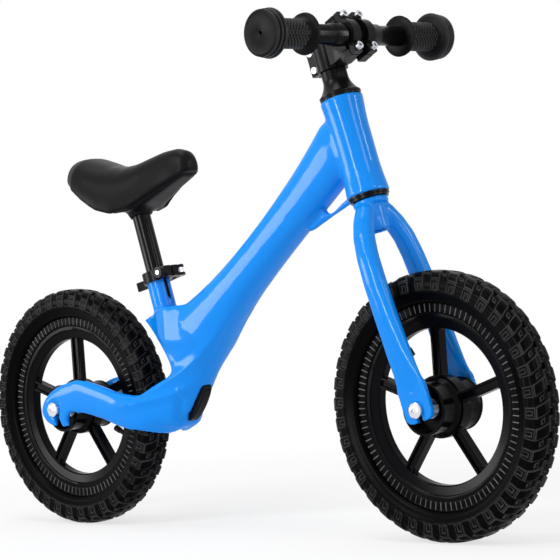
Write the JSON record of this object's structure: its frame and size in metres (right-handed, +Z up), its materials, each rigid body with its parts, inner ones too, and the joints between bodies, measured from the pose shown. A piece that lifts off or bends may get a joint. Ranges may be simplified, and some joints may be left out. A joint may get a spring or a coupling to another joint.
{
  "type": "balance bike",
  "caption": "Child's balance bike with a curved cast frame, spoked plastic wheels with knobbly tyres, turning handlebar and height-adjustable padded saddle.",
  "frame": {"origin": "on the ground, halfway between the two axles, in the bike's middle plane", "axes": "+X forward, +Y to the rider's left, +Z up"},
  "size_m": [0.876, 0.292, 0.5809],
  "materials": {
    "blue_paint": "glossy clear-coated paint",
    "black_alloy": "black anodised, satin",
    "black_steel": "glossy black powder coat",
    "zinc_steel": "zinc plated",
    "chrome_nut": "polished",
    "bearing_steel": "ground",
    "wheel_plastic": "moulded, semi-gloss",
    "dark_plastic": "moulded, fine grain",
    "tyre_rubber": "moulded, dull",
    "grip_rubber": "matte",
    "saddle_cover": "soft matte synthetic cover"
  },
  "bodies": {
    "frame": {"frame": "blue_paint", "bottom_cover": "dark_plastic", "headset_upper_cup": "black_alloy", "headset_lower_cup": "black_alloy", "headset_upper_bearing": "bearing_steel", "headset_lower_bearing": "bearing_steel", "seat_clamp": "black_alloy", "clamp_skewer": "zinc_steel", "rear_axle": "zinc_steel", "rear_axle_washers": "zinc_steel", "rear_axle_nuts": "chrome_nut", "rear_axle_spacers": "zinc_steel"},
    "steering": {"fork": "blue_paint", "crown_race": "black_alloy", "headset_cover": "black_alloy", "stem": "black_alloy", "stem_cap": "dark_plastic", "stem_cap_bolt": "zinc_steel", "stem_pinch_bolts": "zinc_steel", "clamp_band_left": "black_alloy", "clamp_band_right": "black_alloy", "clamp_band_bolts": "zinc_steel", "handlebar": "black_steel", "grip_left": "grip_rubber", "grip_right": "grip_rubber", "front_axle": "zinc_steel", "front_axle_washers": "zinc_steel", "front_axle_nuts": "chrome_nut", "front_axle_spacers": "zinc_steel"},
    "front_wheel": {"front_rim": "wheel_plastic", "front_tyre": "tyre_rubber", "front_bearings": "bearing_steel", "front_valve": "grip_rubber"},
    "rear_wheel": {"rear_rim": "wheel_plastic", "rear_tyre": "tyre_rubber", "rear_bearings": "bearing_steel", "rear_valve": "grip_rubber"},
    "seat": {"seat_post": "black_steel", "saddle_shell": "dark_plastic", "saddle_pad": "saddle_cover"},
    "lever": {"clamp_lever": "black_alloy", "lever_pin": "zinc_steel"},
    "nut": {"clamp_nut": "black_alloy"}
  },
  "joints": [
    {"name": "steering_turn", "type": "hinge", "parent": "frame", "child": "steering", "pos_m": [0.19262, 0, 0.43128], "axis": [-0.2689, 0, 0.9632], "continuous": true},
    {"name": "front_wheel_spin", "type": "hinge", "parent": "steering", "child": "front_wheel", "pos_m": [0.292, 0, 0.146], "axis": [0, 1, 0], "continuous": true},
    {"name": "rear_wheel_spin", "type": "hinge", "parent": "frame", "child": "rear_wheel", "pos_m": [-0.292, 0, 0.146], "axis": [0, 1, 0], "continuous": true},
    {"name": "seat_height", "type": "slide", "parent": "frame", "child": "seat", "axis": [-0.2605, 0, 0.9655], "range_m": [-0.055, 0.03]},
    {"name": "clamp_lever_swing", "type": "hinge", "parent": "frame", "child": "lever", "pos_m": [-0.11686, 0.0176, 0.30706], "axis": [0.2605, 0, -0.9655], "range_deg": [0, 160]},
    {"name": "clamp_nut_turn", "type": "hinge", "parent": "frame", "child": "nut", "pos_m": [-0.11686, -0.0148, 0.30706], "axis": [0, 1, 0], "continuous": true}
  ]
}
